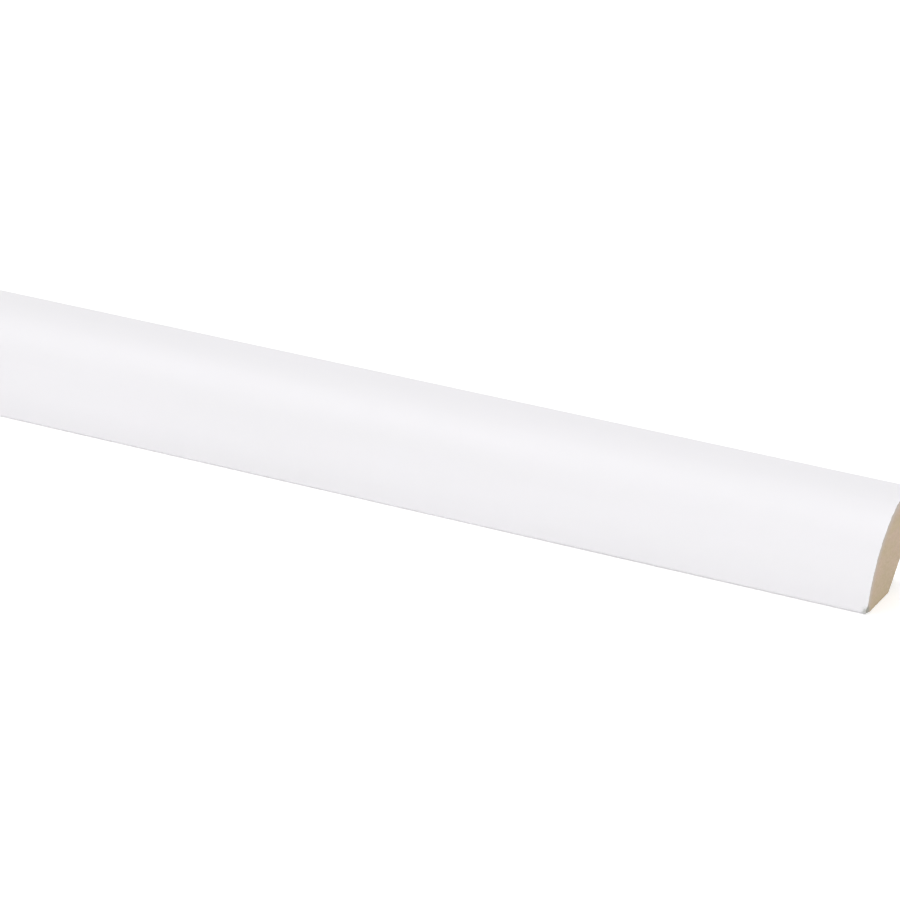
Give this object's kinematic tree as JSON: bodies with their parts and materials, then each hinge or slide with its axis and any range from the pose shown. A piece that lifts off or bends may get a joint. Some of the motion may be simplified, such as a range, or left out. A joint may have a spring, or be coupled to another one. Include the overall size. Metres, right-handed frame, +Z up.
{
  "type": "quarter round moulding",
  "caption": "Straight white primed fibreboard trim strip with a quarter circle face, square sawn ends and a chamfered back corner, to cover the joint of a wall and floor.",
  "frame": {"origin": "on the floor plane under the middle of the bar, half way along its length and half way across its width", "axes": "+X along the bar, towards its right end; +Y across the bar, towards the wall leg; +Z up from the floor leg; the curved face looks to -Y and +Z"},
  "size_m": [2.4, 0.018, 0.018],
  "materials": {
    "white_coated_fibreboard": "satin"
  },
  "bodies": {
    "root": {"quarter_round_moulding": "white_coated_fibreboard"}
  },
  "joints": []
}
